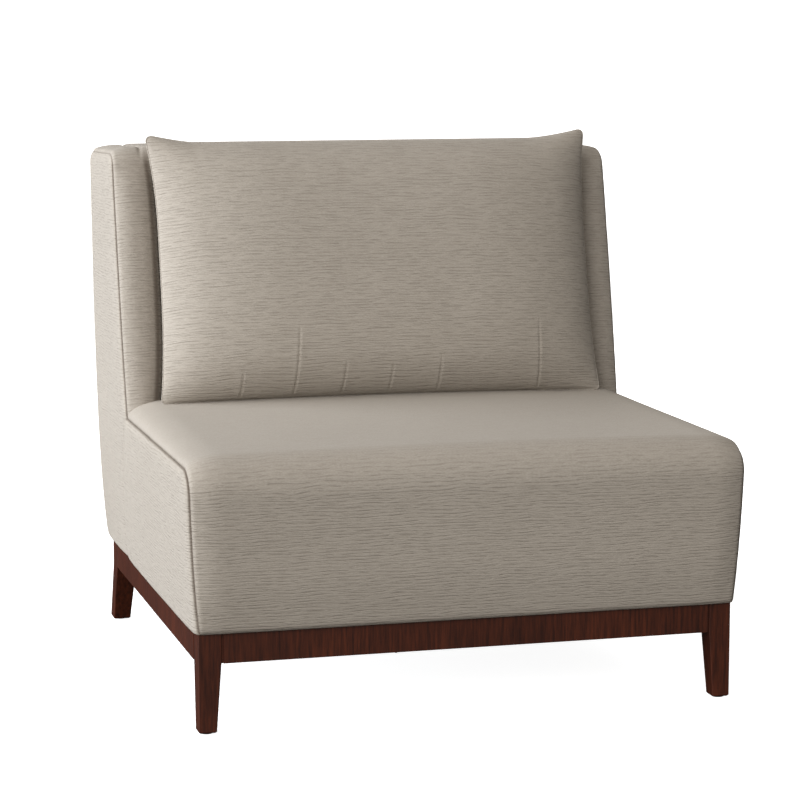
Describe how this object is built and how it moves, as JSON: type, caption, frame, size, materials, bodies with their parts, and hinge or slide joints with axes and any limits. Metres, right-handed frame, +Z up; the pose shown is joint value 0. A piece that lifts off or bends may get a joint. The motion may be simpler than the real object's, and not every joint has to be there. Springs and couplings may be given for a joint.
{
  "type": "slipper chair",
  "caption": "Armless upholstered lounge chair with a boxed seat, a wedge-shaped back, a loose knife-edge back cushion and a low wooden base with raked rear legs.",
  "frame": {"origin": "on the floor under the middle of the chair's box", "axes": "+Z up, -Y the way the chair faces, +X to the right of someone who faces the chair"},
  "size_m": [0.8896, 0.9126, 0.888],
  "materials": {
    "cover_fabric": "matt woven upholstery fabric with fine slubs across",
    "cushion_fabric": "matt woven upholstery fabric with fine slubs across",
    "show_wood": "dark red-brown stain, satin lacquer",
    "frame_wood": "bare sawn hardwood",
    "foam": "open foam",
    "felt": "needled felt",
    "webbing": "woven elastic webbing",
    "dust_fabric": "thin black nonwoven",
    "spring_steel": "oiled spring wire",
    "zinc_steel": "zinc plated",
    "glide_plastic": "moulded nylon"
  },
  "bodies": {
    "chair": {"leg_front_left": "show_wood", "corner_block_front_left": "frame_wood", "corner_bolt_front_left": "zinc_steel", "glide_front_left": "glide_plastic", "leg_front_right": "show_wood", "corner_block_front_right": "frame_wood", "corner_bolt_front_right": "zinc_steel", "glide_front_right": "glide_plastic", "leg_rear_left": "show_wood", "corner_block_rear_left": "frame_wood", "corner_bolt_rear_left": "zinc_steel", "glide_rear_left": "glide_plastic", "leg_rear_right": "show_wood", "corner_block_rear_right": "frame_wood", "corner_bolt_rear_right": "zinc_steel", "glide_rear_right": "glide_plastic", "rail_front": "show_wood", "rail_rear": "show_wood", "rail_left": "show_wood", "rail_right": "show_wood", "dust_cover": "dust_fabric", "seat_board_front": "frame_wood", "spring_rail": "frame_wood", "seat_board_left": "frame_wood", "seat_board_right": "frame_wood", "seat_spring_1": "spring_steel", "spring_clip_front_1": "zinc_steel", "spring_clip_rear_1": "zinc_steel", "seat_spring_2": "spring_steel", "spring_clip_front_2": "zinc_steel", "spring_clip_rear_2": "zinc_steel", "seat_spring_3": "spring_steel", "spring_clip_front_3": "zinc_steel", "spring_clip_rear_3": "zinc_steel", "seat_spring_4": "spring_steel", "spring_clip_front_4": "zinc_steel", "spring_clip_rear_4": "zinc_steel", "seat_spring_5": "spring_steel", "spring_clip_front_5": "zinc_steel", "spring_clip_rear_5": "zinc_steel", "deck_pad": "felt", "seat_foam": "foam", "seat_top_cover": "cover_fabric", "seat_side_panel_left": "cover_fabric", "seat_side_panel_right": "cover_fabric", "back_board_left": "frame_wood", "back_board_right": "frame_wood", "back_board_low": "frame_wood", "back_board_top": "frame_wood", "lumbar_rail": "frame_wood", "back_webbing_1": "webbing", "back_webbing_2": "webbing", "back_webbing_3": "webbing", "back_foam": "foam", "inside_back_cover": "cover_fabric", "back_side_panel_left": "cover_fabric", "back_side_panel_right": "cover_fabric", "outside_back_cover": "cover_fabric"},
    "cushion": {"back_cushion": "cushion_fabric"}
  },
  "joints": [
    {"name": "cushion_lift", "type": "slide", "parent": "chair", "child": "cushion", "axis": [0, 0.2267, 0.974], "range_m": [0, 0.3]}
  ]
}
